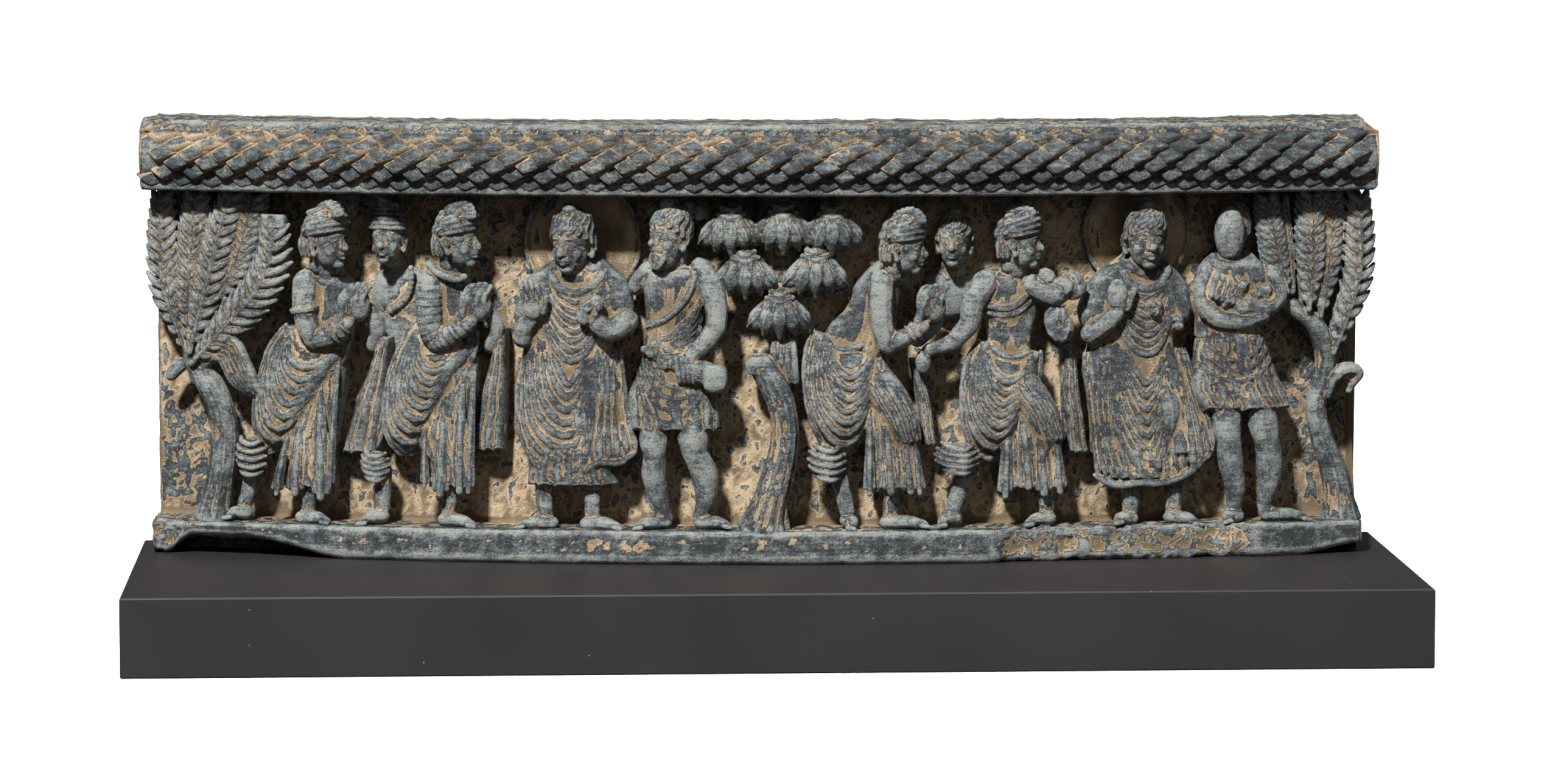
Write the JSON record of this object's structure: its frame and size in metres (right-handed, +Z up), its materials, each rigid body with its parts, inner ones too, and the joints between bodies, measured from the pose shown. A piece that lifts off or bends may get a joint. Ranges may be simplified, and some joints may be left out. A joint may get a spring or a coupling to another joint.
{
  "type": "stone relief panel",
  "caption": "Curved stone frieze segment with standing figures, trees and a netted cornice, resting on a plain dark display base.",
  "frame": {"origin": "middle of the display base's underside", "axes": "+Z up, +X along the base to the right as the carving is seen, -Y towards the viewer"},
  "size_m": [0.7, 0.236, 0.2853],
  "materials": {
    "schist": "carved grey schist with ochre deposits in the recesses",
    "base_wood": "satin brown-black paint"
  },
  "bodies": {
    "root": {"relief_panel": "schist", "display_base": "base_wood"}
  },
  "joints": []
}
